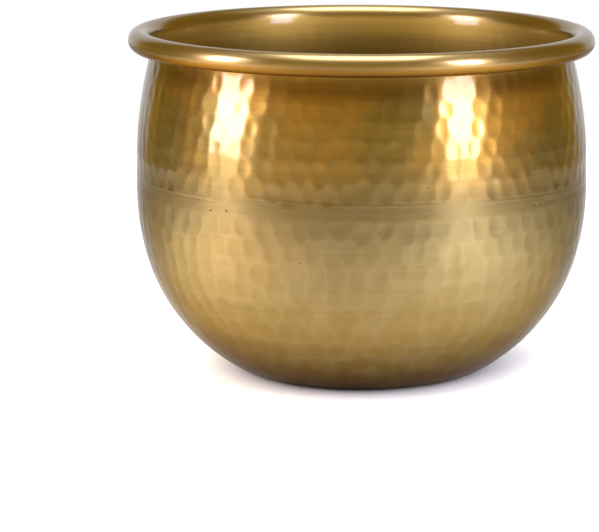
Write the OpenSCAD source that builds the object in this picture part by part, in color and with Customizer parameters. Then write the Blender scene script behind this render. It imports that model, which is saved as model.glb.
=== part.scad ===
// Brass kalash pot, 5 inches high and 6 3/4 inches over the rim.
// Two shells of beaten sheet are lapped and brazed at the belly, and the mouth
// is rolled outwards over a hoop of round wire. The pot stands on its flat base,
// so the origin is the middle of that base and +Z is the pot's axis.

/* [Overall] */
// Height from the table to the top of the rim
pot_h = 127; // [106:0.5:155]
// Diameter over the rolled rim
rim_d = 171.45; // [140:0.05:176]
// Thickness of the brass sheet
wall = 1; // [0.8:0.1:1.6]

/* [Lower bowl] */
// Diameter of the flat that the pot stands on
base_d = 76; // [56:1:94]
// Radius of the soft bend from the flat base into the wall
base_bend_r = 18; // [8:1:26]
// Radius of the flatter stretch of wall just under the belly
bowl_top_r = 95; // [76:1:130]
// Turn of the wall over that stretch, in degrees
bowl_top_turn = 14; // [6:1:24]

/* [Belly joint] */
// Diameter over the straight belly band
belly_d = 166.2; // [160:0.2:200]
// Height of the foot of the belly band
belly_z = 69; // [56:0.5:84]
// Length of wall that overlaps in the joint
lap_h = 4; // [3:0.5:8]
// Height over which the bowl's edge is stepped inwards
joggle_h = 1.5; // [1.2:0.1:3]
// Thickness of the brazing spelter between the lapped walls
braze_gap = 0.15; // [0.1:0.01:0.3]
// Size of the spelter fillet on the bowl's edge, inside the pot
inner_fillet = 0.8; // [0.4:0.1:0.8]

/* [Neck and rim] */
// Radius of the neck, where the wall turns back out towards the rim
neck_r = 24; // [16:0.5:34]
// How far the neck pulls in from the inner side of the rolled rim
neck_tuck = 0.4; // [0.1:0.1:2]
// Diameter of the wire inside the rolled rim
wire_d = 6.2; // [4.8:0.1:7.6]
// Gap between the butted ends of the wire hoop
wire_end_gap = 0.5; // [0.2:0.1:2]
// Gap between the rolled edge and the neck
curl_gap = 0.1; // [0.05:0.05:0.4]

/* [Hidden] */
$fn = 144;

// Largest angle between neighbouring points on a wall's arc and on the rim's curl
wall_step = 3;
curl_step = 9;

// Brass colours: the bowl is rubbed paler than the body
bowl_brass = [0.68, 0.56, 0.34];
body_brass = [0.62, 0.47, 0.20];
wire_brass = [0.74, 0.62, 0.38];
spelter = [0.72, 0.63, 0.42];

// The joggle: the bowl's edge steps in by one wall and the spelter. The inner
// corners of the step sit lower than the outer ones, which keeps the wall even.
belly_r = belly_d / 2;
step_in = wall + braze_gap;
corner_drop = wall * tan(atan(step_in / joggle_h) / 2);
joggle_z = belly_z + corner_drop;
seam_z = joggle_z + joggle_h;
lip_top = seam_z + lap_h;
band_top = lip_top + inner_fillet;
lip_r = belly_r - step_in;

// The bowl's three arcs, with each centre as [radius, height]. The flatter
// stretch leaves the belly upright, and the radius of the round below it is the
// one that runs on from there into the base bend without a kink.
base_bend_c = [base_d / 2, base_bend_r];
bowl_top_c = [belly_r - bowl_top_r, belly_z];
bowl_top_end = at(bowl_top_c, bowl_top_r, -bowl_top_turn);
bowl_inwards = -at([0, 0], 1, -bowl_top_turn);
bend_to_end = bowl_top_end - base_bend_c;
bowl_r = (bend_to_end * bend_to_end - pow(base_bend_r, 2))
    / (-bend_to_end * bowl_inwards - base_bend_r) / 2;
bowl_c = bowl_top_end + bowl_r * bowl_inwards;
base_turn = bearing(bowl_c, base_bend_c);

// The rim's round sets the height and the width of the mouth. The neck's arc
// runs into it, and the shoulder's radius is the one that leaves the belly band
// upright and meets the neck's arc without a kink.
wire_r = wire_d / 2;
bead_r = wire_r + wall;
rim_c = [rim_d / 2 - bead_r, pot_h - bead_r];
neck_to_rim = neck_r - wire_r;
neck_c = rim_c + [
    neck_to_rim - neck_tuck,
    -sqrt(pow(neck_to_rim, 2) - pow(neck_to_rim - neck_tuck, 2))
];
band_to_neck = neck_c - [belly_r, band_top];
shoulder_r = (band_to_neck * band_to_neck - pow(neck_r, 2)) / (neck_r - band_to_neck.x) / 2;
shoulder_c = [belly_r - shoulder_r, band_top];
shoulder_turn = bearing(shoulder_c, neck_c);
neck_turn = bearing(neck_c, rim_c);

// The curl goes on round the wire until its edge comes back to the neck
curl_closes_at = crossing(neck_c, neck_r, rim_c, bead_r);
curl_end = bearing(rim_c, curl_closes_at) + curl_gap / bead_r * 180 / PI;

// Where two circles cross, on the left of the way from centre a to centre b
function crossing(a, ra, b, rb) =
    let (
        way = b - a,
        d = norm(way),
        along = (ra * ra - rb * rb + d * d) / (2 * d),
        off = sqrt(ra * ra - along * along)
    )
    a + (along * way + off * [-way.y, way.x]) / d;

// Direction from one point to another, in degrees from outwards
function bearing(from, to) = atan2(to.y - from.y, to.x - from.x);

// Point at a distance and bearing from a centre
function at(c, r, a) = c + r * [cos(a), sin(a)];

// Points onward along an arc from its start, which the outline already has
function arc(c, r, a0, a1) =
    let (n = ceil(abs(a1 - a0) / wall_step))
    [for (i = [1:n]) at(c, r, a0 + (a1 - a0) * i / n)];

// The same for an arc that something round bears on: its straight stretches
// touch the circle from outside, so that a round of that radius just fits in
function hugging(c, r, a0, a1, step) =
    let (n = ceil(abs(a1 - a0) / step), half = (a1 - a0) / n / 2)
    concat(
        [for (i = [1:n]) at(c, r / cos(half), a0 + half * (2 * i - 1))],
        [at(c, r, a1)]
    );

// A list of points in the other order
function backwards(points) = [for (i = [len(points) - 1:-1:0]) points[i]];

// One side of the bowl's wall from the axis up to its lip: the outside at
// depth 0 and the inside at a depth of one wall
function bowl_side(depth) =
    let (drop = depth == 0 ? 0 : corner_drop)
    concat(
        [[0, depth], [base_d / 2, depth]],
        arc(base_bend_c, base_bend_r - depth, -90, base_turn),
        arc(bowl_c, bowl_r - depth, base_turn, -bowl_top_turn),
        arc(bowl_top_c, bowl_top_r - depth, -bowl_top_turn, 0),
        depth == 0 ? [[belly_r, joggle_z]] : [],
        [[lip_r - depth, seam_z - drop], [lip_r - depth, lip_top]]
    );

// One side of the body's sheet from the seam up and round the wire: the outside
// and the inside of the curl at depth 0, and the other face one wall deeper
function body_side(depth) =
    concat(
        [[belly_r - depth, seam_z], [belly_r - depth, band_top]],
        arc(shoulder_c, shoulder_r - depth, 0, shoulder_turn),
        hugging(neck_c, neck_r + depth, 180 + shoulder_turn, neck_turn, wall_step),
        hugging(rim_c, wire_r + depth, neck_turn, curl_end, curl_step)
    );

// Turns an outline about the pot's axis
module turned(outline) {
    rotate_extrude() polygon(outline);
}

// Lower shell: flat base, round bowl, and a lip stepped in at the belly
module lower_bowl() {
    color(bowl_brass) turned(concat(bowl_side(0), backwards(bowl_side(wall))));
}

// Upper shell: belly band, shoulder and neck, rolled outwards over the wire
module upper_body() {
    color(body_brass) turned(concat(body_side(0), backwards(body_side(wall))));
}

// Hoop of round wire that stiffens the rim, its two ends butted at the back
module rim_wire() {
    end_gap_angle = wire_end_gap / rim_c.x * 180 / PI;
    color(wire_brass)
        rotate([0, 0, 90 + end_gap_angle / 2])
            rotate_extrude(angle = 360 - end_gap_angle)
                translate(rim_c) circle(r = wire_r);
}

// Ring of spelter: it fills the seam flush with the outside, runs up between
// the lapped walls, and ends in a fillet on the lip inside the pot
module belly_braze() {
    color(spelter) turned([
        [belly_r, joggle_z],
        [belly_r, seam_z],
        [belly_r - wall, seam_z],
        [belly_r - wall, band_top],
        [lip_r - inner_fillet, lip_top],
        [lip_r, lip_top],
        [lip_r, seam_z]
    ]);
}

lower_bowl();
upper_body();
rim_wire();
belly_braze();
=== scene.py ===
"""The looks of a beaten brass kalash pot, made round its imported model.

Two beaten shells, the ring of spelter that joins them at the belly and the
hoop of wire in the rolled rim are built as meshes on the shapes of their
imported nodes, with the hammer marks, turned lines and small faults of handwork
in the surface itself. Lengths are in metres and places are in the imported
model's frame: the pot stands at the origin and its axis is Z.
"""

import logging
import math
from dataclasses import dataclass, field
from enum import Enum

import bpy
import numpy as np
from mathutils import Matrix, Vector


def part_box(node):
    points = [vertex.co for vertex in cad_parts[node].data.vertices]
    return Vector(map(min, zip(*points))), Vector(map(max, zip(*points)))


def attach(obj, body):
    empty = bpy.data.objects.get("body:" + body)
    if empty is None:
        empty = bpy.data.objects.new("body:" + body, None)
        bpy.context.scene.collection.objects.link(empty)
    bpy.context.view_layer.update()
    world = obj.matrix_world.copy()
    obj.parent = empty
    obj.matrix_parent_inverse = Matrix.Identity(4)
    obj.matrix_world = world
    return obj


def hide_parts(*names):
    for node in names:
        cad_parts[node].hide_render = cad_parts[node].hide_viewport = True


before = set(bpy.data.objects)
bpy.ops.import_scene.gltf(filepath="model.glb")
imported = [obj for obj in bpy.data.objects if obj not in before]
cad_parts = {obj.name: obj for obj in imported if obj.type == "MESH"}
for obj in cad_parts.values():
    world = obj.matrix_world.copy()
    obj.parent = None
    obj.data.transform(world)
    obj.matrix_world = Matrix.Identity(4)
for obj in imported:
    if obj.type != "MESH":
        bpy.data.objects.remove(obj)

LOG = logging.getLogger("kalash")
MM = 0.001
SHARP_CORNER = math.radians(20)
BODY = "root"
TINY = 1e-12
CORNER_TURNS = (0, 45, 90)
RADIUS_SAMPLES = 25
NOISE_SPREAD = (0.3, 0.7)
LINE_DETAIL = 1.5
GRAIN_DETAIL = 2
CLOUD_DETAIL = 3
MOTTLE_DETAIL = 4

Point = tuple[float, float]
Span = tuple[float, float]
Colour = tuple[float, float, float]
Input = bpy.types.NodeSocket | float | Colour

BODY_EDGE_TINT: Colour = (0.47, 0.455, 0.44)


class Face(Enum):
    """The two faces of the sheet: the one outside the pot and the one inside."""

    OUTSIDE = 0
    INSIDE = 1


class Side(Enum):
    """Where the centre of a bend lies: on the pot's inner side or its outer side."""

    INNER = -1
    OUTER = 1


def at(centre: Point, radius: float, angle: float) -> Point:
    """Gives the point at a distance and a bearing from a centre.

    Args:
        centre: The centre, as radius and height.
        radius: Distance from the centre.
        angle: Bearing in degrees, from outwards and turning upwards.

    Returns:
        The point, as radius and height.
    """
    turn = math.radians(angle)
    return (centre[0] + radius * math.cos(turn), centre[1] + radius * math.sin(turn))


def bearing(start: Point, end: Point) -> float:
    """Gives the direction from one point to another.

    Args:
        start: The point to look from.
        end: The point to look at.

    Returns:
        The direction in degrees, from outwards and turning upwards.
    """
    return math.degrees(math.atan2(end[1] - start[1], end[0] - start[0]))


def crossing(a: Point, radius_a: float, b: Point, radius_b: float) -> Point:
    """Finds where two circles cross, on the left of the way from a to b.

    Args:
        a: Centre of the first circle.
        radius_a: Its radius.
        b: Centre of the second circle.
        radius_b: Its radius.

    Returns:
        The crossing, as radius and height.
    """
    way = np.subtract(b, a)
    length = float(np.linalg.norm(way))
    along = (radius_a**2 - radius_b**2 + length**2) / (2 * length)
    off = math.sqrt(radius_a**2 - along**2)
    found = np.array(a) + (along * way + off * np.array([-way[1], way[0]])) / length
    return (float(found[0]), float(found[1]))


def smooth_step(value: np.ndarray, low: float, high: float) -> np.ndarray:
    """Rises from 0 at low to 1 at high, level at both ends.

    Args:
        value: The values to place between low and high.
        low: Where the rise starts.
        high: Where it ends.

    Returns:
        The shares, from 0 to 1.
    """
    share = np.clip((value - low) / (high - low), 0.0, 1.0)
    return share * share * (3 - 2 * share)


@dataclass(frozen=True)
class Bend:
    """A stretch of wall that follows an arc.

    Its radius is that of the sheet's outside face.
    """

    centre: Point
    radius: float
    start: float
    end: float
    wall: float
    side: Side = Side.INNER

    @property
    def length(self) -> float:
        """Length of the stretch along its outside face."""
        return self.radius * math.radians(abs(self.end - self.start))

    def point(self, share: float, face: Face) -> Point:
        """Gives a point of the stretch.

        Args:
            share: How far along the stretch, from 0 to 1.
            face: The face of the sheet.

        Returns:
            The point, as radius and height.
        """
        radius = self.radius + face.value * self.side.value * self.wall
        return at(self.centre, radius, self.start + share * (self.end - self.start))


@dataclass(frozen=True)
class Straight:
    """A straight stretch of wall, given by the ends of its two faces."""

    outside: tuple[Point, Point]
    inside: tuple[Point, Point]

    @property
    def length(self) -> float:
        """Length of the stretch along its outside face."""
        return math.dist(*self.outside)

    def point(self, share: float, face: Face) -> Point:
        """Gives a point of the stretch.

        Args:
            share: How far along the stretch, from 0 to 1.
            face: The face of the sheet.

        Returns:
            The point, as radius and height.
        """
        start, end = self.inside if face is Face.INSIDE else self.outside
        return (start[0] + share * (end[0] - start[0]), start[1] + share * (end[1] - start[1]))


@dataclass(frozen=True)
class PotShape:
    """The pot in section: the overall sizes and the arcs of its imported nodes."""

    pot_h: float
    rim_d: float
    belly_d: float
    wall: float = 1 * MM
    base_d: float = 76 * MM
    base_bend_r: float = 18 * MM
    bowl_top_r: float = 95 * MM
    bowl_top_turn: float = 14
    belly_z: float = 69 * MM
    lap_h: float = 4 * MM
    joggle_h: float = 1.5 * MM
    braze_gap: float = 0.15 * MM
    inner_fillet: float = 0.8 * MM
    neck_r: float = 24 * MM
    neck_tuck: float = 0.4 * MM
    wire_d: float = 6.2 * MM
    wire_end_gap: float = 0.5 * MM
    curl_gap: float = 0.1 * MM

    @classmethod
    def of_frame(cls) -> "PotShape":
        """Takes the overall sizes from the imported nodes' boxes.

        Returns:
            The shape, with every other size as it is here.
        """
        body_low, body_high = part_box("upper_body")
        bowl_low, bowl_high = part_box("lower_bowl")
        return cls(
            pot_h=body_high.z - bowl_low.z,
            rim_d=body_high.x - body_low.x,
            belly_d=bowl_high.x - bowl_low.x,
        )

    @property
    def belly_r(self) -> float:
        """Radius over the belly band."""
        return self.belly_d / 2

    @property
    def corner_drop(self) -> float:
        """How much lower the joggle's inner corners sit than its outer ones."""
        step_in = self.wall + self.braze_gap
        return self.wall * math.tan(math.atan(step_in / self.joggle_h) / 2)

    @property
    def joggle_z(self) -> float:
        """Height where the bowl's edge starts to step inwards."""
        return self.belly_z + self.corner_drop

    @property
    def seam_z(self) -> float:
        """Height of the body sheet's lower edge."""
        return self.joggle_z + self.joggle_h

    @property
    def lip_top(self) -> float:
        """Height of the bowl's edge, inside the body."""
        return self.seam_z + self.lap_h

    @property
    def lip_r(self) -> float:
        """Outer radius of the bowl's stepped-in edge."""
        return self.belly_r - self.wall - self.braze_gap

    @property
    def band_top(self) -> float:
        """Height where the straight belly band ends."""
        return self.lip_top + self.inner_fillet

    @property
    def wire_r(self) -> float:
        """Radius of the wire in the rim."""
        return self.wire_d / 2

    @property
    def bead_r(self) -> float:
        """Radius of the rolled rim over the wire."""
        return self.wire_r + self.wall

    @property
    def rim_c(self) -> Point:
        """Centre of the wire in section."""
        return (self.rim_d / 2 - self.bead_r, self.pot_h - self.bead_r)

    def bowl_stretches(self) -> list[Bend | Straight]:
        """Lists the bowl's wall from the middle of the base up to its lip.

        Returns:
            The base, its bend, the bowl, its top, and the joggle's three parts.
        """
        base_c = (self.base_d / 2, self.base_bend_r)
        top_c = (self.belly_r - self.bowl_top_r, self.belly_z)
        top_end = at(top_c, self.bowl_top_r, -self.bowl_top_turn)
        inwards = np.array(at((0, 0), -1, -self.bowl_top_turn))
        reach = np.subtract(top_end, base_c)
        bowl_r = (reach @ reach - self.base_bend_r**2) / (-reach @ inwards - self.base_bend_r) / 2
        bowl_c = tuple(np.array(top_end) + bowl_r * inwards)
        turn = bearing(bowl_c, base_c)
        rise = ((self.belly_r, self.belly_z), (self.belly_r, self.joggle_z))
        inner_corner = (self.belly_r - self.wall, self.belly_z)
        lip = ((self.lip_r, self.seam_z), (self.lip_r, self.lip_top))
        lip_in = (
            (self.lip_r - self.wall, self.seam_z - self.corner_drop),
            (self.lip_r - self.wall, self.lip_top),
        )
        return [
            Straight(((0, 0), (base_c[0], 0)), ((0, self.wall), (base_c[0], self.wall))),
            Bend(base_c, self.base_bend_r, -90, turn, self.wall),
            Bend(bowl_c, bowl_r, turn, -self.bowl_top_turn, self.wall),
            Bend(top_c, self.bowl_top_r, -self.bowl_top_turn, 0, self.wall),
            Straight(rise, (inner_corner, inner_corner)),
            Straight((rise[1], lip[0]), (inner_corner, lip_in[0])),
            Straight(lip, lip_in),
        ]

    def body_stretches(self) -> list[Bend | Straight]:
        """Lists the body's wall from the seam up and round the wire.

        Returns:
            The belly band, the shoulder, the neck and the curl.
        """
        reach = self.neck_r - self.wire_r
        away = reach - self.neck_tuck
        drop = math.sqrt(reach**2 - away**2)
        neck_c = (self.rim_c[0] + away, self.rim_c[1] - drop)
        way = np.subtract(neck_c, (self.belly_r, self.band_top))
        shoulder_r = (way @ way - self.neck_r**2) / (self.neck_r - way[0]) / 2
        shoulder_c = (self.belly_r - shoulder_r, self.band_top)
        shoulder_turn = bearing(shoulder_c, neck_c)
        neck_turn = bearing(neck_c, self.rim_c)
        closes_at = crossing(neck_c, self.neck_r, self.rim_c, self.bead_r)
        curl_end = bearing(self.rim_c, closes_at) + math.degrees(self.curl_gap / self.bead_r)
        band_in = self.belly_r - self.wall
        return [
            Straight(
                ((self.belly_r, self.seam_z), (self.belly_r, self.band_top)),
                ((band_in, self.seam_z), (band_in, self.band_top)),
            ),
            Bend(shoulder_c, shoulder_r, 0, shoulder_turn, self.wall),
            Bend(neck_c, self.neck_r, 180 + shoulder_turn, neck_turn, self.wall, Side.OUTER),
            Bend(self.rim_c, self.wire_r, neck_turn, curl_end, self.wall, Side.OUTER),
        ]


@dataclass
class Section:
    """A shell's section, as the stations that its surface passes through.

    The stations go up the outside face and back down the inside one, and each
    keeps its distance along the wall from the foot of the shell.
    """

    points: list[Point] = field(default_factory=list)
    runs: list[float] = field(default_factory=list)
    insides: list[float] = field(default_factory=list)

    def add(self, point: Point, run: float, face: Face) -> None:
        """Adds one station.

        Args:
            point: Its place, as radius and height.
            run: Its distance along the wall.
            face: The face of the sheet that it is on.
        """
        self.points.append(point)
        self.runs.append(run)
        self.insides.append(float(face.value))

    def follow(
        self, stretches: list[Bend | Straight], spacings: list[float], face: Face, gaps: Span
    ) -> None:
        """Adds the stations of one face, upwards outside and downwards inside.

        Args:
            stretches: The wall's stretches from its foot up.
            spacings: The largest distance between stations on each stretch.
            face: The face of the sheet.
            gaps: How far from the sheet's foot and from its top the face stops.
        """
        starts = np.concatenate([[0.0], np.cumsum([s.length for s in stretches])])
        total = starts[-1]
        rows = []
        for stretch, spacing, start in zip(stretches, spacings, starts):
            count = max(1, math.ceil(stretch.length / spacing))
            first = 0 if not rows else 1
            for share in np.linspace(0, 1, count + 1)[first:]:
                rows.append((stretch.point(float(share), face), float(start + share * stretch.length)))
        kept = [row for row in rows if gaps[0] <= row[1] < total - gaps[1]]
        for point, run in kept if face is Face.OUTSIDE else reversed(kept):
            self.add(point, run, face)

    def cut_edge(self, outside: Point, inside: Point, along: Point, run: float, ease: float) -> None:
        """Closes the sheet at a cut edge whose two corners are rubbed round.

        Args:
            outside: The corner that the stations come from.
            inside: The corner that they go on from.
            along: Unit vector along the wall, out of the sheet.
            run: The edge's distance along the wall.
            ease: Radius of the rubbed corners.
        """
        across = np.subtract(inside, outside)
        across = across / np.linalg.norm(across)
        forward = np.array(along)
        for corner, sign, turns in ((outside, 1, CORNER_TURNS), (inside, -1, CORNER_TURNS[::-1])):
            centre = np.array(corner) + ease * (sign * across - forward)
            for turn in turns:
                swing = math.radians(turn)
                spot = centre + ease * (math.sin(swing) * forward - sign * math.cos(swing) * across)
                face = Face.OUTSIDE if sign > 0 else Face.INSIDE
                self.add((float(spot[0]), float(spot[1])), run, face)

    def normals(self, closed: bool) -> np.ndarray:
        """Gives each station's direction out of the metal.

        Args:
            closed: True where the last station joins the first.

        Returns:
            One unit vector per station, as radius and height.
        """
        points = np.array(self.points)
        if closed:
            ways = np.roll(points, -1, axis=0) - np.roll(points, 1, axis=0)
        else:
            ways = np.gradient(points, axis=0)
        ways = ways / np.maximum(np.linalg.norm(ways, axis=1, keepdims=True), TINY)
        return np.column_stack([ways[:, 1], -ways[:, 0]])


@dataclass(frozen=True)
class HammerWork:
    """Rounds of close-set marks from the rounded end of a hammer.

    The unevenness is the spread of each mark's place, size and depth, as a
    share of the round's spacing, the mark's size and its depth.
    """

    first_run: float
    spacing: float
    rounds: int
    mark_w: float
    mark_h: float
    depth: float
    pitch: float
    seed: int
    fade: float = 0.0
    unevenness: float = 0.12
    place_unevenness: float = 0.8
    depth_unevenness: float = 1.6
    least_share: float = 0.35
    filed_to: float | None = None
    filed_h: float = 2.5 * MM

    def depths(self, runs: np.ndarray, radii: np.ndarray, angles: np.ndarray) -> np.ndarray:
        """Finds how deep the sheet is beaten at every point of a grid.

        Args:
            runs: Distance along the wall at each station.
            radii: The pot's radius at each station.
            angles: The direction of each column, in radians.

        Returns:
            The depths, one row per station and one column per direction.
        """
        rng = np.random.default_rng(self.seed)
        found = np.zeros((len(runs), len(angles)))
        for number in range(self.rounds):
            centre_run = self.first_run + number * self.spacing
            nearest = int(np.argmin(np.abs(runs - centre_run)))
            count = max(3, round(2 * math.pi * radii[nearest] / self.pitch))
            share = 1 - self.fade * number / max(1, self.rounds - 1)
            for mark in range(count):
                uneven = rng.normal(0, self.unevenness, 5)
                aside = 0.5 * (number % 2) + self.place_unevenness * uneven[0]
                turn = 2 * math.pi * (mark + aside) / count
                middle = centre_run + uneven[1] * self.spacing * self.place_unevenness
                half_w = self.mark_w / 2 * (1 + uneven[2])
                half_h = self.mark_h / 2 * (1 + uneven[3])
                deeper = max(self.least_share, 1 + self.depth_unevenness * uneven[4])
                depth = self.depth * share * deeper
                rows = np.flatnonzero(np.abs(runs - middle) < half_h)
                if not len(rows):
                    continue
                gap = (angles - turn + math.pi) % (2 * math.pi) - math.pi
                columns = np.flatnonzero(np.abs(gap) * radii[nearest] < half_w)
                across = gap[columns][None, :] * radii[rows][:, None] / half_w
                up = ((runs[rows] - middle) / half_h)[:, None]
                dish = depth * np.clip(1 - across**2 - up**2, 0, None)
                block = np.ix_(rows, columns)
                found[block] = np.maximum(found[block], dish)
        if self.filed_to is not None:
            found *= 1 - smooth_step(runs, self.filed_to - self.filed_h, self.filed_to)[:, None]
        return found


@dataclass(frozen=True)
class TurnedLines:
    """Shallow lines left by holding a tool against the turning pot.

    Two sets of lines beat with each other, so that some lines are deeper.
    """

    low: float
    high: float
    pitch: float
    depth: float
    wander: float
    seed: int
    wander_waves: tuple[int, ...] = (1, 2, 3, 5)
    second_share: float = 0.6
    second_pitch: float = 1.7
    second_phase: float = 1.3
    edge_share: float = 0.3
    mean_share: float = 0.5
    beat_share: float = 0.31

    def depths(self, runs: np.ndarray, angles: np.ndarray) -> np.ndarray:
        """Finds the lines' depth at every point of a grid.

        Args:
            runs: Distance along the wall at each station.
            angles: The direction of each column, in radians.

        Returns:
            The depths, one row per station and one column per direction.
        """
        rng = np.random.default_rng(self.seed)
        drift = np.zeros_like(angles)
        for waves in self.wander_waves:
            drift += rng.normal() * np.sin(waves * angles + rng.uniform(0, 2 * math.pi)) / waves
        middle = runs[:, None] + self.wander * drift[None, :]
        turns = 2 * math.pi * middle / self.pitch
        second = np.sin(turns / self.second_pitch + self.second_phase)
        beat = np.sin(turns) + self.second_share * second
        edge = (self.high - self.low) * self.edge_share
        shown = smooth_step(runs, self.low, self.low + edge)
        shown = shown * (1 - smooth_step(runs, self.high - edge, self.high))
        return self.depth * shown[:, None] * (self.mean_share + self.beat_share * beat)


@dataclass(frozen=True)
class HandShaping:
    """How far the whole pot is out of true, as handwork leaves it.

    The levels are shares of the pot's height between which it leaves the true
    shape.
    """

    pot_h: float
    mouth_tilt: float = 0.25
    tilt_levels: Span = (0.45, 0.95)
    out_of_round: float = 0.13 * MM
    swell_waves: tuple[int, ...] = (2, 3, 4, 7)
    swell_levels: Span = (0.02, 0.3)
    most_lean: float = 1.5
    seed: int = 11

    def shape(self, points: np.ndarray) -> np.ndarray:
        """Moves points from the true shape to the handmade one.

        Args:
            points: Points as x, y and z.

        Returns:
            The moved points.
        """
        rng = np.random.default_rng(self.seed)
        x, y, z = points.T
        angle = np.arctan2(y, x)
        radius = np.hypot(x, y)
        level = z / self.pot_h
        raised = smooth_step(level, *self.swell_levels)
        swell = np.zeros_like(radius)
        for waves in self.swell_waves:
            phase = rng.uniform(0, 2 * math.pi)
            lean = rng.uniform(-self.most_lean, self.most_lean)
            swell += np.sin(waves * angle + phase + lean * level) / waves
        radius = radius + self.out_of_round * swell * raised
        lowered = x * math.tan(math.radians(self.mouth_tilt)) * smooth_step(level, *self.tilt_levels)
        return np.column_stack([radius * np.cos(angle), radius * np.sin(angle), z - lowered])


def turned_mesh(name: str, points: np.ndarray, closed: bool) -> bpy.types.Mesh:
    """Makes a surface from rings of points about the axis.

    Args:
        name: Name of the mesh.
        points: The points, as stations, columns and x, y, z. Where the section
            isn't closed, its first and last stations lie on the axis.
        closed: True where the last station joins the first.

    Returns:
        The mesh, with its faces looking out of the metal.
    """
    stations, columns = points.shape[:2]
    column = np.arange(columns)
    beside = (column + 1) % columns
    if closed:
        rings = points.reshape(-1, 3)
        lower = np.arange(stations)
        upper = (lower + 1) % stations
        poles = []
    else:
        rings = np.vstack([points[1:-1].reshape(-1, 3), points[0, :1], points[-1, :1]])
        lower = np.arange(stations - 3)
        upper = lower + 1
        last_ring = (stations - 3) * columns
        first_pole = (stations - 2) * columns
        poles = [(first_pole, b, a) for a, b in zip(column.tolist(), beside.tolist())]
        poles += [
            (first_pole + 1, last_ring + a, last_ring + b)
            for a, b in zip(column.tolist(), beside.tolist())
        ]
    low, high = lower[:, None] * columns, upper[:, None] * columns
    quads = np.stack([low + column, low + beside, high + beside, high + column], axis=-1)
    mesh = bpy.data.meshes.new(name)
    mesh.from_pydata(rings.tolist(), [], quads.reshape(-1, 4).tolist() + poles)
    mesh.shade_smooth()
    mesh.set_sharp_from_angle(angle=SHARP_CORNER)
    mesh.update()
    return mesh


def store(mesh: bpy.types.Mesh, name: str, values: np.ndarray) -> None:
    """Keeps a number for each vertex, for the finishes to read.

    Args:
        mesh: The mesh.
        name: The attribute's name.
        values: One value per vertex.
    """
    layer = mesh.attributes.new(name, "FLOAT", "POINT")
    layer.data.foreach_set("value", np.ascontiguousarray(values, dtype=np.float32))


def opaque(colour: Colour) -> tuple[float, float, float, float]:
    """Adds a full alpha to a colour."""
    return (*colour, 1.0)


class Graph:
    """The nodes of a material or of a world, added and joined one after another."""

    def __init__(self, owner: bpy.types.Material | bpy.types.World) -> None:
        """Starts with no nodes.

        Args:
            owner: The material or the world.
        """
        owner.use_nodes = True
        self.tree = owner.node_tree
        self.tree.nodes.clear()

    def add(self, kind: str, inputs: dict | None = None, **settings: object) -> bpy.types.Node:
        """Adds a node.

        Args:
            kind: The node's type.
            inputs: What goes into its inputs, each a value or another output.
            **settings: The node's own properties.

        Returns:
            The node.
        """
        node = self.tree.nodes.new(kind)
        for key, value in settings.items():
            setattr(node, key, value)
        for key, value in (inputs or {}).items():
            if isinstance(value, bpy.types.NodeSocket):
                self.tree.links.new(value, node.inputs[key])
            else:
                node.inputs[key].default_value = value
        return node

    def maths(self, operation: str, a: Input, b: Input = 0.0) -> bpy.types.NodeSocket:
        """Works out one number from two.

        Args:
            operation: The operation's name.
            a: The first number.
            b: The second number.

        Returns:
            The result.
        """
        return self.add("ShaderNodeMath", {0: a, 1: b}, operation=operation).outputs[0]

    def noise(self, where: Input, scale: float, detail: float, seed: float = 0.0) -> Input:
        """Adds soft random variation.

        Args:
            where: The coordinates.
            scale: How many bumps there are to a unit of length.
            detail: How many finer octaves are added.
            seed: Picks one pattern out of many.

        Returns:
            The variation, mostly within NOISE_SPREAD.
        """
        inputs = {"Vector": where, "Scale": scale, "Detail": detail, "W": seed}
        return self.add("ShaderNodeTexNoise", inputs, noise_dimensions="4D").outputs["Fac"]

    def span(self, value: Input, source: Span, target: Span = (0.0, 1.0), soft: bool = False) -> Input:
        """Carries a range of values over to another, stopping at its ends.

        Args:
            value: The value.
            source: Where the first range starts and ends.
            target: Where the second range starts and ends.
            soft: True to ease in and out at the ends.

        Returns:
            The new value.
        """
        inputs = {
            "Value": value,
            "From Min": source[0],
            "From Max": source[1],
            "To Min": target[0],
            "To Max": target[1],
        }
        kind = "SMOOTHSTEP" if soft else "LINEAR"
        return self.add("ShaderNodeMapRange", inputs, interpolation_type=kind).outputs["Result"]

    def blend(self, share: Input, a: Input, b: Input, mode: str = "MIX") -> Input:
        """Mixes two colours.

        Args:
            share: The share of the second, from 0 to 1.
            a: The first colour.
            b: The second colour.
            mode: How they mix.

        Returns:
            The mixed colour.
        """
        first, second = (opaque(c) if isinstance(c, tuple) else c for c in (a, b))
        inputs = {0: share, 6: first, 7: second}
        return self.add("ShaderNodeMix", inputs, data_type="RGBA", blend_type=mode).outputs[2]

    def grey(self, value: Input) -> Input:
        """Makes a grey of one number."""
        return self.add("ShaderNodeCombineXYZ", {0: value, 1: value, 2: value}).outputs[0]

    def attribute(self, name: str) -> Input:
        """Reads a number that the mesh keeps for each vertex."""
        return self.add("ShaderNodeAttribute", attribute_name=name).outputs["Fac"]

    def rubbing_lines(self, axes: bpy.types.Node, run: Input, around: float, across: float) -> Input:
        """Adds the lines that rubbing round the pot leaves.

        Args:
            axes: The node that holds the point's x, y and z apart.
            run: Distance along the wall.
            around: How many lines end in a metre round the pot.
            across: How many lines lie side by side in a metre.

        Returns:
            The lines' height, mostly within NOISE_SPREAD.
        """
        x = self.maths("MULTIPLY", axes.outputs["X"], around)
        y = self.maths("MULTIPLY", axes.outputs["Y"], around)
        lift = self.maths("MULTIPLY", run, across)
        spot = self.add("ShaderNodeCombineXYZ", {0: x, 1: y, 2: lift}).outputs[0]
        return self.noise(spot, 1.0, LINE_DETAIL)


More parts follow.
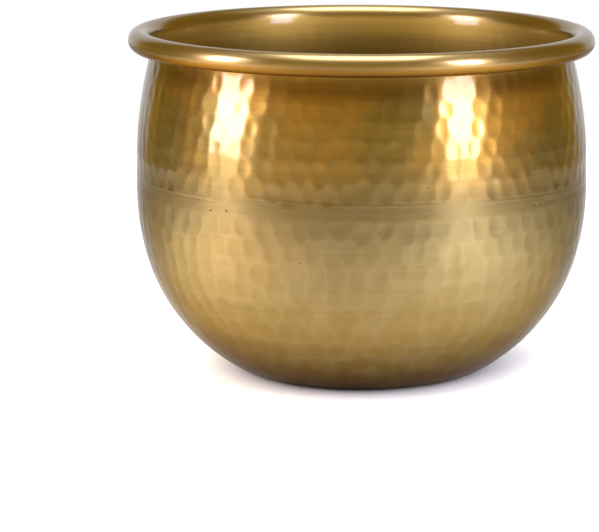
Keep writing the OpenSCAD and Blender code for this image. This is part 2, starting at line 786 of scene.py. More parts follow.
@dataclass(frozen=True)
class Finish:
    """A surface finish, made of nodes."""

    name: str

    def make(self) -> bpy.types.Material:
        """Builds the material.

        Returns:
            The material, with its shader fed as inputs() says.
        """
        material = bpy.data.materials.new(self.name)
        g = Graph(material)
        place = g.add("ShaderNodeTexCoord").outputs["Object"]
        shader = g.add("ShaderNodeBsdfPrincipled", self.inputs(g, place))
        g.add("ShaderNodeOutputMaterial", {"Surface": shader.outputs["BSDF"]})
        return material

    def inputs(self, g: Graph, place: Input) -> dict[str, Input]:
        """Gives the values and outputs that the shader takes.

        Args:
            g: The material's nodes.
            place: The point on the surface.

        Returns:
            One entry for each of the shader's inputs that the finish sets.
        """
        raise NotImplementedError


@dataclass(frozen=True)
class RubbedMetal(Finish):
    """Metal rubbed round the pot with fine paper, and lacquered."""

    stretch: float = 0.6
    stretch_turn: float = 0.25
    lacquer_roughness: float = 0.11
    lacquer_ior: float = 1.5
    edge_tint: Colour = (0.39, 0.37, 0.34)

    def rubbed(self, g: Graph) -> dict[str, Input]:
        """Gives the shader inputs that are the same all over the metal.

        Args:
            g: The material's nodes.

        Returns:
            Those inputs.
        """
        round_pot = g.add("ShaderNodeTangent", direction_type="RADIAL", axis="Z")
        return {
            "Anisotropic": self.stretch,
            "Anisotropic Rotation": self.stretch_turn,
            "Tangent": round_pot.outputs[0],
            "Coat Roughness": self.lacquer_roughness,
            "Coat IOR": self.lacquer_ior,
            "Specular Tint": opaque(self.edge_tint),
        }


@dataclass(frozen=True)
class Surface:
    """What the brass varies with at each point, as outputs of nodes."""

    place: Input
    height: Input
    hammered: Input
    polish: Input
    # Share of painted shade under the rim and on the neck just below it.
    painted_rim_shade: Input
    inside: Input
    rubbed: Input
    fine: Input
    patches: Input
    clouds: Input
    pit: Input


@dataclass(frozen=True)
class BeatenBrass(RubbedMetal):
    """Beaten sheet brass, rubbed round with fine paper, lacquered and aged.

    Its tone changes with height, in patches and between the marks. It also carries
    painted shade under the rim, on the neck below it and towards the foot, and
    inside the pot painted light near the mouth that gives way to painted shade
    deeper down. A pair of numbers is where a change starts and ends, or the
    least and the most of a value.
    """

    olive: Colour = (0.160, 0.117, 0.042)
    amber: Colour = (0.175, 0.117, 0.038)
    neck_olive: Colour = (0.31, 0.225, 0.066)
    neck_amber: Colour = (0.57, 0.315, 0.056)
    low_tone: Colour = (0.19, 0.12, 0.027)
    # Painted shade towards the foot: the contact shadow that the bowl's underside mirrors.
    foot_shade_tone: Colour = (0.11, 0.055, 0.003)
    pale: Colour = (0.25, 0.185, 0.080)
    brown: Colour = (0.10, 0.055, 0.018)
    rim_tone: Colour = (0.34, 0.25, 0.110)
    # Painted shade under the rim and on the neck just below it.
    rim_shade_tone: Colour = (0.145, 0.072, 0.012)
    # Inside the pot: painted light near the mouth, giving way to painted shade deeper down.
    lit_inside_tone: Colour = (0.66, 0.45, 0.11)
    shaded_inside_tone: Colour = (0.15, 0.095, 0.008)
    neck_rise: Span = (74 * MM, 100 * MM)
    low_fall: Span = (46 * MM, 24 * MM)
    # Spans of painted shade: towards the foot, and deeper inside the pot.
    foot_shade_fall: Span = (24 * MM, 4 * MM)
    inside_shade_fall: Span = (117 * MM, 104 * MM)

    patch_scale: float = 26
    patch_seed: float = 3.0
    patch_edge: Span = (0.40, 0.60)
    cloud_scale: float = 95
    worn_edge: Span = (0.45, 0.72)
    worn_share: float = 0.35
    ridge_edge: Span = (0.0, 0.3)
    ridge_share: float = 0.18
    inner_share: float = 0.85
    polished_share: float = 0.8
    pit_scale: float = 210
    pit_edge: Span = (0.085, 0.05)
    pit_clouds: Span = (0.56, 0.6)
    pit_share: float = 0.8

    line_counts: Span = (18, 900)
    fine_counts: Span = (40, 2300)
    line_tone: Span = (0.945, 1.055)
    fine_tone: Span = (0.98, 1.02)
    line_relief: float = 0.6
    fine_relief: float = 0.25
    pit_relief: float = 2.0
    line_bump: float = 0.035
    line_depth: float = 0.02 * MM
    grain_scale: float = 2600
    grain_bump: float = 0.12
    grain_depth: float = 0.01 * MM

    roughness: float = 0.32
    line_change: float = 0.012
    patch_change: float = 0.02
    inner_rise: float = 0.28
    polish_drop: float = 0.28
    pit_rise: float = 0.25
    bloom: float = 0.06
    lacquer: Span = (0.2, 0.85)

    def inputs(self, g: Graph, place: Input) -> dict[str, Input]:
        """Gives the values and outputs that the shader takes.

        Args:
            g: The material's nodes.
            place: The point on the surface.

        Returns:
            One entry for each of the shader's inputs that the finish sets.
        """
        surface = self.survey(g, place)
        return {
            "Base Color": self.tone(g, surface),
            "Metallic": self.metal(g, surface),
            "Roughness": self.rough(g, surface),
            "Coat Weight": self.coat(g, surface),
            "Normal": self.relief(g, surface),
            **self.rubbed(g),
        }

    def survey(self, g: Graph, place: Input) -> Surface:
        """Adds the patterns that the finish is made from.

        Args:
            g: The material's nodes.
            place: The point on the surface.

        Returns:
            The patterns, with what the mesh keeps for each vertex.
        """
        axes = g.add("ShaderNodeSeparateXYZ", {"Vector": place})
        run = g.attribute("run")
        clouds = g.noise(place, self.cloud_scale, CLOUD_DETAIL)
        specks = g.add("ShaderNodeTexVoronoi", {"Vector": place, "Scale": self.pit_scale})
        spot = g.span(specks.outputs["Distance"], self.pit_edge)
        return Surface(
            place=place,
            height=axes.outputs["Z"],
            hammered=g.attribute("hammer"),
            polish=g.attribute("polish"),
            painted_rim_shade=g.attribute("painted_rim_shade"),
            inside=g.attribute("inside"),
            rubbed=g.rubbing_lines(axes, run, *self.line_counts),
            fine=g.rubbing_lines(axes, run, *self.fine_counts),
            patches=g.noise(place, self.patch_scale, CLOUD_DETAIL, self.patch_seed),
            clouds=clouds,
            pit=g.maths("MULTIPLY", spot, g.span(clouds, self.pit_clouds)),
        )

    def tone(self, g: Graph, s: Surface) -> Input:
        """Colours the brass.

        Args:
            g: The material's nodes.
            s: What the brass varies with.

        Returns:
            The colour.
        """
        patch = g.span(s.patches, self.patch_edge)
        tone = g.blend(patch, self.olive, self.amber)
        neck_tone = g.blend(patch, self.neck_olive, self.neck_amber)
        tone = g.blend(g.span(s.height, self.neck_rise), tone, neck_tone)
        tone = g.blend(g.span(s.height, self.low_fall), tone, self.low_tone)
        # Painted shade: darker towards the foot, for the contact shadow that the underside mirrors.
        tone = g.blend(g.span(s.height, self.foot_shade_fall), tone, self.foot_shade_tone)
        tone = g.blend(g.span(s.clouds, self.worn_edge, (0, self.worn_share)), tone, self.pale)
        tone = g.blend(g.span(s.hammered, self.ridge_edge, (self.ridge_share, 0)), tone, self.pale)
        # Inside the pot the tone carries painted light near the mouth and painted shade deeper down.
        inner = g.blend(g.span(s.height, self.inside_shade_fall), self.lit_inside_tone, self.shaded_inside_tone)
        tone = g.blend(g.maths("MULTIPLY", s.inside, self.inner_share), tone, inner)
        tone = g.blend(g.maths("MULTIPLY", s.polish, self.polished_share), tone, self.rim_tone)
        # Painted shade: the underside of the rim and the neck just below it are darkened.
        tone = g.blend(s.painted_rim_shade, tone, self.rim_shade_tone)
        streak = g.span(s.rubbed, NOISE_SPREAD, self.line_tone)
        streak = g.maths("MULTIPLY", streak, g.span(s.fine, NOISE_SPREAD, self.fine_tone))
        tone = g.blend(1.0, tone, g.grey(streak), "MULTIPLY")
        return g.blend(g.maths("MULTIPLY", s.pit, self.pit_share), tone, self.brown)

    def metal(self, g: Graph, s: Surface) -> Input:
        """Gives how bare the metal is, less where the inside has bloomed."""
        bloomed = g.maths("MULTIPLY", g.maths("SUBTRACT", s.inside, s.polish), self.bloom)
        return g.maths("SUBTRACT", 1.0, g.maths("MAXIMUM", bloomed, 0.0))

    def coat(self, g: Graph, s: Surface) -> Input:
        """Gives how much lacquer is left: most on the neck, none under the rim.

        Args:
            g: The material's nodes.
            s: What the brass varies with.

        Returns:
            The lacquer's weight.
        """
        coat = g.span(s.height, self.neck_rise, self.lacquer)
        under = g.maths("MULTIPLY", s.painted_rim_shade, s.inside)
        return g.maths("MULTIPLY", coat, g.maths("SUBTRACT", 1.0, under))

    def rough(self, g: Graph, s: Surface) -> Input:
        """Gives how dull the brass is.

        Args:
            g: The material's nodes.
            s: What the brass varies with.

        Returns:
            The roughness.
        """
        lines = (self.roughness - self.line_change, self.roughness + self.line_change)
        rough = g.span(s.rubbed, NOISE_SPREAD, lines)
        patches = g.span(s.patches, NOISE_SPREAD, (-self.patch_change, self.patch_change))
        rough = g.maths("ADD", rough, patches)
        rough = g.maths("ADD", rough, g.maths("MULTIPLY", s.inside, self.inner_rise))
        rough = g.maths("SUBTRACT", rough, g.maths("MULTIPLY", s.polish, self.polish_drop))
        return g.maths("ADD", rough, g.maths("MULTIPLY", s.pit, self.pit_rise))

    def relief(self, g: Graph, s: Surface) -> Input:
        """Adds the finest relief: rubbing lines, pits and grain.

        Args:
            g: The material's nodes.
            s: What the brass varies with.

        Returns:
            The surface's direction.
        """
        lines = g.maths("MULTIPLY", s.rubbed, self.line_relief)
        lines = g.maths("ADD", lines, g.maths("MULTIPLY", s.fine, self.fine_relief))
        lines = g.maths("SUBTRACT", lines, g.maths("MULTIPLY", s.pit, self.pit_relief))
        rubbed = {"Height": lines, "Strength": self.line_bump, "Distance": self.line_depth}
        skin = {
            "Height": g.noise(s.place, self.grain_scale, GRAIN_DETAIL),
            "Strength": self.grain_bump,
            "Distance": self.grain_depth,
            "Normal": g.add("ShaderNodeBump", rubbed).outputs[0],
        }
        return g.add("ShaderNodeBump", skin).outputs[0]


@dataclass(frozen=True)
class Spelter(RubbedMetal):
    """Brazing metal, filed flush and rubbed down with the brass beside it."""

    name: str = "spelter"
    bright: Colour = (0.19, 0.136, 0.047)
    dull: Colour = (0.170, 0.120, 0.042)
    line_counts: Span = (40, 1700)
    mottle_scale: float = 330
    mottle_edge: Span = (0.35, 0.65)
    mottle_relief: float = 0.5
    roughness: Span = (0.35, 0.31)
    bump: float = 0.1
    bump_depth: float = 0.02 * MM
    lacquer: float = 0.2

    def inputs(self, g: Graph, place: Input) -> dict[str, Input]:
        """Gives the values and outputs that the shader takes.

        Args:
            g: The material's nodes.
            place: The point on the surface.

        Returns:
            One entry for each of the shader's inputs that the finish sets.
        """
        axes = g.add("ShaderNodeSeparateXYZ", {"Vector": place})
        lines = g.rubbing_lines(axes, axes.outputs["Z"], *self.line_counts)
        mottle = g.noise(place, self.mottle_scale, MOTTLE_DETAIL)
        height = g.maths("ADD", lines, g.maths("MULTIPLY", mottle, self.mottle_relief))
        bump = {"Height": height, "Strength": self.bump, "Distance": self.bump_depth}
        return {
            "Base Color": g.blend(g.span(mottle, self.mottle_edge), self.dull, self.bright),
            "Metallic": 1.0,
            "Roughness": g.span(mottle, NOISE_SPREAD, self.roughness),
            "Coat Weight": self.lacquer,
            "Normal": g.add("ShaderNodeBump", bump).outputs[0],
            **self.rubbed(g),
        }


@dataclass(frozen=True)
class DrawnWire(Finish):
    """Brass wire as it comes from the drawing die, with fine lines along it."""

    name: str = "drawn_wire"
    bright: Colour = (0.50, 0.37, 0.16)
    stained: Colour = (0.30, 0.19, 0.07)
    line_counts: Span = (14, 3200)
    stain_scale: float = 60
    stain_edge: Span = (0.4, 0.7)
    roughness: Span = (0.24, 0.36)
    bump: float = 0.4
    bump_depth: float = 0.03 * MM

    def inputs(self, g: Graph, place: Input) -> dict[str, Input]:
        """Gives the values and outputs that the shader takes.

        Args:
            g: The material's nodes.
            place: The point on the surface.

        Returns:
            One entry for each of the shader's inputs that the finish sets.
        """
        axes = g.add("ShaderNodeSeparateXYZ", {"Vector": place})
        lines = g.rubbing_lines(axes, axes.outputs["Z"], *self.line_counts)
        stain = g.span(g.noise(place, self.stain_scale, MOTTLE_DETAIL), self.stain_edge)
        bump = {"Height": lines, "Strength": self.bump, "Distance": self.bump_depth}
        return {
            "Base Color": g.blend(stain, self.bright, self.stained),
            "Metallic": 1.0,
            "Roughness": g.span(lines, NOISE_SPREAD, self.roughness),
            "Normal": g.add("ShaderNodeBump", bump).outputs[0],
        }


@dataclass(frozen=True)
class PaleTable(Finish):
    """A matt, pale table top, very slightly uneven in tone."""

    name: str = "pale_table"
    tone: Span = (0.85, 0.87)
    tone_scale: float = 9
    roughness: float = 0.9

    def inputs(self, g: Graph, place: Input) -> dict[str, Input]:
        """Gives the values and outputs that the shader takes.

        Args:
            g: The material's nodes.
            place: The point on the surface.

        Returns:
            One entry for each of the shader's inputs that the finish sets.
        """
        tone = g.span(g.noise(place, self.tone_scale, CLOUD_DETAIL), NOISE_SPREAD, self.tone)
        return {"Base Color": g.grey(tone), "Roughness": self.roughness, "Specular IOR Level": 0.0}


@dataclass
class Piece:
    """A piece of the pot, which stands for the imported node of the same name."""

    node: str
    slot: str
    shape: PotShape
    shaping: HandShaping
    columns: int = 700

    @property
    def angles(self) -> np.ndarray:
        """Direction of each column of points, in radians."""
        return np.arange(self.columns) * 2 * math.pi / self.columns

    def build(self) -> bpy.types.Mesh:
        """Makes the piece's mesh."""
        raise NotImplementedError

    def dress(self, mesh: bpy.types.Mesh, finish: Finish) -> bpy.types.Object:
        """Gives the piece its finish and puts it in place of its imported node.

        Args:
            mesh: The piece's mesh.
            finish: Its finish.

        Returns:
            The piece.
        """
        mesh.materials.append(finish.make())
        piece = bpy.data.objects.new(f"{self.node}_made", mesh)
        bpy.context.scene.collection.objects.link(piece)
        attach(piece, BODY)
        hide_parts(self.node)
        return piece


@dataclass
class Shell(Piece):
    """A beaten shell of sheet brass.

    The spacings are the largest distance between stations on each stretch, and
    the inner share is how much of each mark shows on the inside face.
    """

    stretches: list[Bend | Straight] = field(default_factory=list)
    outside_spacings: list[float] = field(default_factory=list)
    inside_spacings: list[float] = field(default_factory=list)
    hammer: HammerWork | None = None
    lines: TurnedLines | None = None
    closed: bool = True
    ease: float = 0.01 * MM
    inner_share: float = 0.75

    @property
    def length(self) -> float:
        """Length of the wall along its outside face."""
        return sum(stretch.length for stretch in self.stretches)

    def polish(self, runs: np.ndarray) -> np.ndarray:
        """Gives how brightly each station is polished, from 0 to 1."""
        return np.zeros_like(runs)

    def paint_rim_shade(self, runs: np.ndarray, inside: np.ndarray) -> np.ndarray:
        """Gives how much painted shade the rim puts on each station, from 0 to 1.

        Args:
            runs: Distance along the wall at each station.
            inside: 1 at the stations of the inside face, and 0 at the others.

        Returns:
            One share per station.
        """
        return np.zeros_like(runs * inside)

    def section(self) -> Section:
        """Runs the stations up the outside, over the lip and down the inside.

        Returns:
            The section, closed at its foot where the shell is.
        """
        made = Section()
        top, foot = self.stretches[-1], self.stretches[0]
        gaps = (self.ease if self.closed else 0.0, self.ease)
        made.follow(self.stretches, self.outside_spacings, Face.OUTSIDE, gaps)
        ends = (top.point(1, Face.OUTSIDE), top.point(1, Face.INSIDE))
        made.cut_edge(*ends, self.forward(top, 1), self.length, self.ease)
        made.follow(self.stretches, self.inside_spacings, Face.INSIDE, gaps)
        if self.closed:
            self.close_foot(made, foot)
        return made

    def close_foot(self, made: Section, foot: Bend | Straight) -> None:
        """Closes the sheet's lower edge.

        Args:
            made: The section so far, which ends inside just above that edge.
            foot: The lowest stretch of wall.
        """
        edge = Section()
        back = tuple(-way for way in self.forward(foot, 0))
        edge.cut_edge(foot.point(0, Face.INSIDE), foot.point(0, Face.OUTSIDE), back, 0.0, self.ease)
        middle = len(edge.points) // 2
        for number, point in enumerate(edge.points):
            made.add(point, 0.0, Face.INSIDE if number < middle else Face.OUTSIDE)

    @staticmethod
    def forward(stretch: Bend | Straight, share: float) -> Point:
        """Gives the unit vector along a stretch.

        Args:
            stretch: The stretch of wall.
            share: Where on it, from 0 to 1.

        Returns:
            The direction from its foot to its top.
        """
        step = 1e-4
        low = np.array(stretch.point(min(share, 1 - step), Face.OUTSIDE))
        high = np.array(stretch.point(min(share, 1 - step) + step, Face.OUTSIDE))
        way = (high - low) / np.linalg.norm(high - low)
        return (float(way[0]), float(way[1]))

    def build(self) -> bpy.types.Mesh:
        """Makes the shell's mesh, beaten and slightly out of true.

        Returns:
            The mesh, which keeps what the finish varies with at each vertex.
        """
        section = self.section()
        points = np.array(section.points)
        runs = np.array(section.runs)
        inside = np.array(section.insides)
        radii = np.interp(runs, *self.outside_radii())
        dents = self.hammer.depths(runs, np.maximum(radii, 1 * MM), self.angles)
        cuts = self.lines.depths(runs, self.angles) if self.lines else 0.0
        sink = np.where(inside[:, None] > 0, -self.inner_share * dents, dents + cuts)
        normals = section.normals(self.closed)
        at_r = points[:, :1] - sink * normals[:, :1]
        at_z = points[:, 1:] - sink * normals[:, 1:]
        xyz = np.stack([at_r * np.cos(self.angles), at_r * np.sin(self.angles), at_z], axis=-1)
        xyz = self.shaping.shape(xyz.reshape(-1, 3)).reshape(xyz.shape)
        mesh = turned_mesh(self.node, xyz, self.closed)
        self.keep(mesh, "run", np.broadcast_to(runs[:, None], dents.shape))
        self.keep(mesh, "hammer", dents / self.hammer.depth)
        kept = {"polish": self.polish(runs), "painted_rim_shade": self.paint_rim_shade(runs, inside), "inside": inside}
        for name, values in kept.items():
            self.keep(mesh, name, np.broadcast_to(values[:, None], dents.shape))
        return mesh

    def outside_radii(self) -> tuple[list[float], list[float]]:
        """Lists distances along the wall and the pot's radius at each.

        Returns:
            The distances, and the radii.
        """
        start, runs, radii = 0.0, [], []
        for stretch in self.stretches:
            for share in np.linspace(0, 1, RADIUS_SAMPLES):
                runs.append(start + share * stretch.length)
                radii.append(stretch.point(float(share), Face.OUTSIDE)[0])
            start += stretch.length
        return runs, radii

    def keep(self, mesh: bpy.types.Mesh, name: str, values: np.ndarray) -> None:
        """Stores a grid of values on the mesh, in the order of its vertices.

        Args:
            mesh: The mesh.
            name: The attribute's name.
            values: One row per station and one column per direction.
        """
        if self.closed:
            store(mesh, name, values.ravel())
            return
        ends = [values[0, 0], values[-1, 0]]
        store(mesh, name, np.concatenate([values[1:-1].ravel(), ends]))


@dataclass
class LowerBowl(Shell):
    """The lower shell: flat base, round bowl and a lip stepped in at the belly."""

    closed: bool = False
    stretches_to_belly: int = 4

    def __post_init__(self) -> None:
        """Lays out the bowl's wall and the work on it."""
        self.stretches = self.shape.bowl_stretches()
        self.outside_spacings = [7 * MM, 1.7 * MM, 1.0 * MM, 0.95 * MM, 0.4 * MM, 0.9 * MM, 2 * MM]
        self.inside_spacings = [8 * MM, 2.5 * MM, 4 * MM, 4 * MM, 1 * MM, 1 * MM, 2 * MM]
        belly = sum(stretch.length for stretch in self.stretches[: self.stretches_to_belly])
        self.hammer = HammerWork(
            first_run=belly - 4.0 * MM,
            spacing=-8.2 * MM,
            rounds=9,
            mark_w=6.6 * MM,
            mark_h=9 * MM,
            depth=0.15 * MM,
            pitch=7.2 * MM,
            seed=23,
            fade=0.35,
            filed_to=belly,
        )


@dataclass
class UpperBody(Shell):
    """The upper shell: belly band, shoulder, neck and the rim rolled over the wire.

    The spans are distances along the wall: from the rolled edge for the part
    under the rim, and from the end of the neck for the others.
    """

    stretches_to_rim: int = 3
    polished: Span = (-2 * MM, 0.0)
    # Spans of the painted shade under the rim and on the neck just below it.
    under_rim: Span = (-8.7 * MM, -6.7 * MM)
    neck_start: Span = (-17 * MM, -8 * MM)
    neck_stop: Span = (-7 * MM, -2 * MM)
    neck_share: float = 0.8

    def __post_init__(self) -> None:
        """Lays out the body's wall and the work on it."""
        self.stretches = self.shape.body_stretches()
        self.outside_spacings = [0.33 * MM, 0.8 * MM, 0.9 * MM, 3 * MM]
        self.inside_spacings = [4.8 * MM, 4 * MM, 2 * MM, 0.5 * MM]
        self.hammer = HammerWork(
            first_run=7.4 * MM,
            spacing=7.15 * MM,
            rounds=6,
            mark_w=6.2 * MM,
            mark_h=8.2 * MM,
            depth=0.12 * MM,
            pitch=6.8 * MM,
            seed=7,
        )
        self.lines = TurnedLines(
            low=0.3 * MM,
            high=8 * MM,
            pitch=1.35 * MM,
            depth=0.028 * MM,
            wander=0.9 * MM,
            seed=3,
        )

    @property
    def neck_end(self) -> float:
        """Distance along the wall where the neck ends and the rolled rim starts."""
        return sum(stretch.length for stretch in self.stretches[: self.stretches_to_rim])

    def polish(self, runs: np.ndarray) -> np.ndarray:
        """Polishes the rolled rim, where hands and cloths rub."""
        return smooth_step(runs - self.neck_end, *self.polished)

    def paint_rim_shade(self, runs: np.ndarray, inside: np.ndarray) -> np.ndarray:
        """Paints shade on the underside of the rim and on the neck just below it.

        Args:
            runs: Distance along the wall at each station.
            inside: 1 at the stations of the inside face, and 0 at the others.

        Returns:
            One share per station.
        """
        # Painted shade: darkest on the rim's underside, and on the outside of the neck just below it.
        under = smooth_step(runs - self.length, *self.under_rim)
        past_neck = runs - self.neck_end
        neck = smooth_step(past_neck, *self.neck_start) * (1 - smooth_step(past_neck, *self.neck_stop))
        return np.maximum(under, self.neck_share * neck * (1 - inside))


@dataclass
class BrazeRing(Piece):
    """The spelter in the belly joint: flush outside, with a fillet inside.

    The pinholes are given by their direction in degrees, and the levels are
    how far up the ring's outer face they lie, in turn.
    """

    columns: int = 2100
    outer_rows: int = 7
    fillet_shares: tuple[float, ...] = (0.25, 0.5, 0.75)
    fillet_bow: float = 0.7
    pinholes: tuple[float, ...] = (230.3, 235.3, 12.0, 77.0, 141.0, 318.0)
    hole_levels: Span = (0.35, 0.65)
    hole_r: float = 0.5 * MM
    hole_depth: float = 0.3 * MM

    def outline(self) -> list[Point]:
        """Lists the ring's section, from the foot of its outer face round.

        Returns:
            The corners, as radius and height, with the outer face's rows first.
        """
        s = self.shape
        outer = [(s.belly_r, z) for z in np.linspace(s.joggle_z, s.seam_z, self.outer_rows)]
        inner_wall = s.belly_r - s.wall
        sides = [(inner_wall, s.seam_z), (inner_wall, s.lip_top), (inner_wall, s.band_top)]
        toe = s.lip_r - s.inner_fillet
        run_in = toe - inner_wall
        hollow = [
            (inner_wall + run_in * share, s.band_top - s.inner_fillet * share**self.fillet_bow)
            for share in self.fillet_shares
        ]
        lip = [(toe, s.lip_top), (s.lip_r, s.lip_top), (s.lip_r, s.seam_z)]
        return [*outer, *sides, *hollow, *lip]

    def build(self) -> bpy.types.Mesh:
        """Makes the ring's mesh, with the pinholes that the gas left.

        Returns:
            The mesh.
        """
        outline = np.array(self.outline())
        radius = np.repeat(outline[:, :1], self.columns, axis=1)
        height = np.repeat(outline[:, 1:], self.columns, axis=1)
        outer = np.arange(len(outline))[:, None] < self.outer_rows
        for number, degrees in enumerate(self.pinholes):
            level = self.shape.joggle_z + self.shape.joggle_h * self.hole_levels[number % 2]
            gap = (self.angles - math.radians(degrees) + math.pi) % (2 * math.pi) - math.pi
            far = np.hypot(gap[None, :] * self.shape.belly_r, height - level) / self.hole_r
            radius -= np.where(outer, self.hole_depth * np.clip(1 - far**2, 0, None), 0)
        xyz = np.stack([radius * np.cos(self.angles), radius * np.sin(self.angles), height], axis=-1)
        xyz = self.shaping.shape(xyz.reshape(-1, 3)).reshape(xyz.shape)
        return turned_mesh(self.node, xyz, closed=True)


@dataclass
class RimHoop(Piece):
    """The hoop of wire in the rim, its two ends butted at the back."""

    sides: int = 28
    stations: int = 360
    ease: float = 0.35 * MM

    def build(self) -> bpy.types.Mesh:
        """Makes the hoop's mesh, open at the butt and closed at its two ends.

        Returns:
            The mesh.
        """
        s = self.shape
        half_gap = s.wire_end_gap / 2 / s.rim_c[0]
        turns = np.linspace(math.pi / 2 + half_gap, 2.5 * math.pi - half_gap, self.stations)
        sizes = np.full(self.stations, s.wire_r)
        sizes[[0, -1]] -= self.ease
        turns[1] = turns[0] + self.ease / s.rim_c[0]
        turns[-2] = turns[-1] - self.ease / s.rim_c[0]
        around = np.arange(self.sides) * 2 * math.pi / self.sides
        reach = s.rim_c[0] + sizes[:, None] * np.cos(around)
        rise = s.rim_c[1] + sizes[:, None] * np.sin(around)
        xyz = np.stack([reach * np.cos(turns)[:, None], reach * np.sin(turns)[:, None], rise], axis=-1)
        xyz = self.shaping.shape(xyz.reshape(-1, 3))
        side = np.arange(self.sides)
        beside = (side + 1) % self.sides
        low = np.arange(self.stations - 1)[:, None] * self.sides
        high = low + self.sides
        quads = np.stack([low + side, high + side, high + beside, low + beside], axis=-1)
        last = (self.stations - 1) * self.sides
        ends = [tuple(side.tolist()), tuple((last + side[::-1]).tolist())]
        mesh = bpy.data.meshes.new(self.node)
        mesh.from_pydata(xyz.tolist(), [], quads.reshape(-1, 4).tolist() + ends)
        mesh.shade_smooth()
        mesh.update()
        return mesh


@dataclass(frozen=True)
class Softbox:
    """A flat soft lamp that looks at a point over the pot's foot.

    A low one lies level over the table instead, and the pot doesn't mirror it.
    The azimuth is in degrees from the front of the pot, turning to its right.
    """

    name: str
    azimuth: float
    distance: float
    height: float
    width: float
    tall: float
    watts: float
    colour: Colour = (1.0, 1.0, 1.0)
    aim_z: float = 0.06
    low: bool = False

    def hang(self) -> None:
        """Puts the lamp in the scene."""
        data = bpy.data.lights.new(self.name, "AREA")
        data.shape = "RECTANGLE"
        data.size = self.width
        data.size_y = self.tall
        data.energy = self.watts
        data.color = self.colour
        lamp = bpy.data.objects.new(self.name, data)
        turn = math.radians(self.azimuth)
        reach = (self.distance * math.sin(turn), -self.distance * math.cos(turn))
        lamp.location = (*reach, self.height)
        if self.low:
            lamp.rotation_euler = (0, 0, turn)
            lamp.visible_glossy = False
        else:
            aim = Vector((0, 0, self.aim_z)) - lamp.location
            lamp.rotation_mode = "QUATERNION"
            lamp.rotation_quaternion = aim.to_track_quat("-Z", "Y")
        lamp.visible_camera = False
        bpy.context.scene.collection.objects.link(lamp)


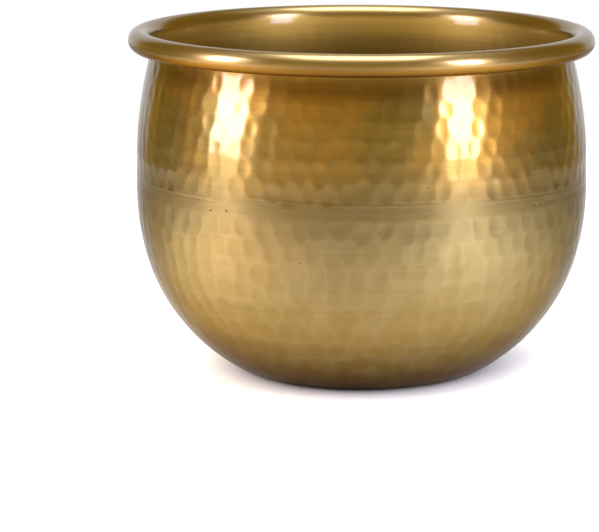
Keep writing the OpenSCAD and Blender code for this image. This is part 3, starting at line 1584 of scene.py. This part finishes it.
@dataclass
class Studio:
    """The pale table, the soft lamps, the room that the pot mirrors and the camera.

    Each span is where a tone of the room gives way to the next, as a part of
    the unit direction along that axis.
    """

    table_r: float = 0.6
    table_sides: int = 96
    horizon_tone: Colour = (0.66, 0.43, 0.05)
    front_tone: Colour = (0.36, 0.23, 0.03)
    side_tone: Colour = (0.33, 0.21, 0.026)
    back_tone: Colour = (0.85, 0.82, 0.80)
    top_tone: Colour = (0.90, 0.86, 0.80)
    fill_tone: Colour = (0.40, 0.40, 0.41)
    seen_tone: Colour = (1.0, 1.0, 1.0)
    raised: Span = (0.02, 0.24)
    aside: Span = (0.6, 0.92)
    behind: Span = (0.74, 0.86)
    overhead: Span = (0.70, 0.95)
    elevation: float = 9.34
    distance: float = 1.218
    lens: float = 197.3
    sensor: float = 36
    shift: tuple[float, float] = (-0.1036, -0.1132)
    target_z: float = 0.0635
    clip_end: float = 50
    lamps: list[Softbox] = field(
        default_factory=lambda: [
            Softbox("left_strip", -66.3, 0.49, 0.23, 0.14, 0.30, 1.5, (0.97, 0.91, 1.15)),
            Softbox("right_strip", 49.2, 0.5, 0.23, 0.125, 0.30, 1.3, (0.95, 0.94, 1.25)),
            Softbox("overhead", 0, 0.1, 1.5, 0.95, 0.95, 17),
            Softbox("left_glow", -68.0, 0.34, 0.13, 0.10, 0.44, 1.75, (1.0, 0.86, 0.68), low=True),
            Softbox("right_glow", 50.0, 0.35, 0.13, 0.09, 0.46, 1.6, (0.98, 0.97, 1.0), low=True),
            Softbox("back_fill", 180, 0.55, 0.75, 1.3, 0.5, 6.5, low=True),
        ]
    )

    def lay_table(self) -> None:
        """Lays the pale table that the pot stands on."""
        turns = np.arange(self.table_sides) * 2 * math.pi / self.table_sides
        edge = [(self.table_r * math.cos(turn), self.table_r * math.sin(turn), 0.0) for turn in turns]
        mesh = bpy.data.meshes.new("table")
        mesh.from_pydata(edge, [], [tuple(range(self.table_sides))])
        mesh.materials.append(PaleTable().make())
        table = bpy.data.objects.new("table", mesh)
        bpy.context.scene.collection.objects.link(table)

    def paint_surround(self) -> None:
        """Colours the room: dim in front, pale behind and soft overhead as the pot
        mirrors it, an even grey as it lights the table, and white to look at."""
        world = bpy.data.worlds.new("studio")
        g = Graph(world)
        way = g.add("ShaderNodeTexCoord").outputs["Generated"]
        x, y, z = g.add("ShaderNodeSeparateXYZ", {"Vector": way}).outputs
        room = g.blend(g.span(z, self.raised, soft=True), self.horizon_tone, self.front_tone)
        sideways = g.maths("ABSOLUTE", x)
        room = g.blend(g.span(sideways, self.aside, soft=True), room, self.side_tone)
        room = g.blend(g.span(y, self.behind, soft=True), room, self.back_tone)
        room = g.blend(g.span(z, self.overhead, soft=True), room, self.top_tone)
        ray = g.add("ShaderNodeLightPath").outputs
        room = g.blend(ray["Is Glossy Ray"], self.fill_tone, room)
        room = g.blend(ray["Is Camera Ray"], room, self.seen_tone)
        glow = g.add("ShaderNodeBackground", {"Color": room}).outputs[0]
        g.add("ShaderNodeOutputWorld", {"Surface": glow})
        bpy.context.scene.world = world

    def set_camera(self) -> None:
        """Stands the camera in front of the pot, a little above its rim."""
        data = bpy.data.cameras.new("camera")
        data.sensor_width = self.sensor
        data.lens = self.lens
        data.shift_x, data.shift_y = self.shift
        data.clip_end = self.clip_end
        camera = bpy.data.objects.new("camera", data)
        lift = math.radians(self.elevation)
        back = Vector((0, -math.cos(lift), math.sin(lift)))
        camera.location = Vector((0, 0, self.target_z)) + back * self.distance
        camera.rotation_mode = "QUATERNION"
        camera.rotation_quaternion = (-back).to_track_quat("-Z", "Y")
        bpy.context.scene.collection.objects.link(camera)
        bpy.context.scene.camera = camera

    def build(self) -> None:
        """Sets up the whole studio."""
        self.lay_table()
        self.paint_surround()
        for lamp in self.lamps:
            lamp.hang()
        self.set_camera()
        bpy.context.scene.view_settings.view_transform = "Standard"


def main() -> None:
    """Builds the pot's four pieces and the studio."""
    logging.basicConfig(level=logging.INFO, format="%(name)s: %(message)s")
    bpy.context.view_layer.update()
    shape = PotShape.of_frame()
    shaping = HandShaping(shape.pot_h)
    bowl_finish = BeatenBrass("bowl_brass")
    body_finish = BeatenBrass("body_brass", edge_tint=BODY_EDGE_TINT)
    work: list[tuple[Piece, Finish]] = [
        (LowerBowl("lower_bowl", "bowl_brass", shape, shaping), bowl_finish),
        (UpperBody("upper_body", "body_brass", shape, shaping), body_finish),
        (BrazeRing("belly_braze", "spelter", shape, shaping), Spelter()),
        (RimHoop("rim_wire", "wire_brass", shape, shaping), DrawnWire()),
    ]
    for piece, finish in work:
        made = piece.dress(piece.build(), finish)
        LOG.info("%s: %d faces, %s", made.name, len(made.data.polygons), finish.name)
    Studio().build()


if __name__ == "__main__":
    main()
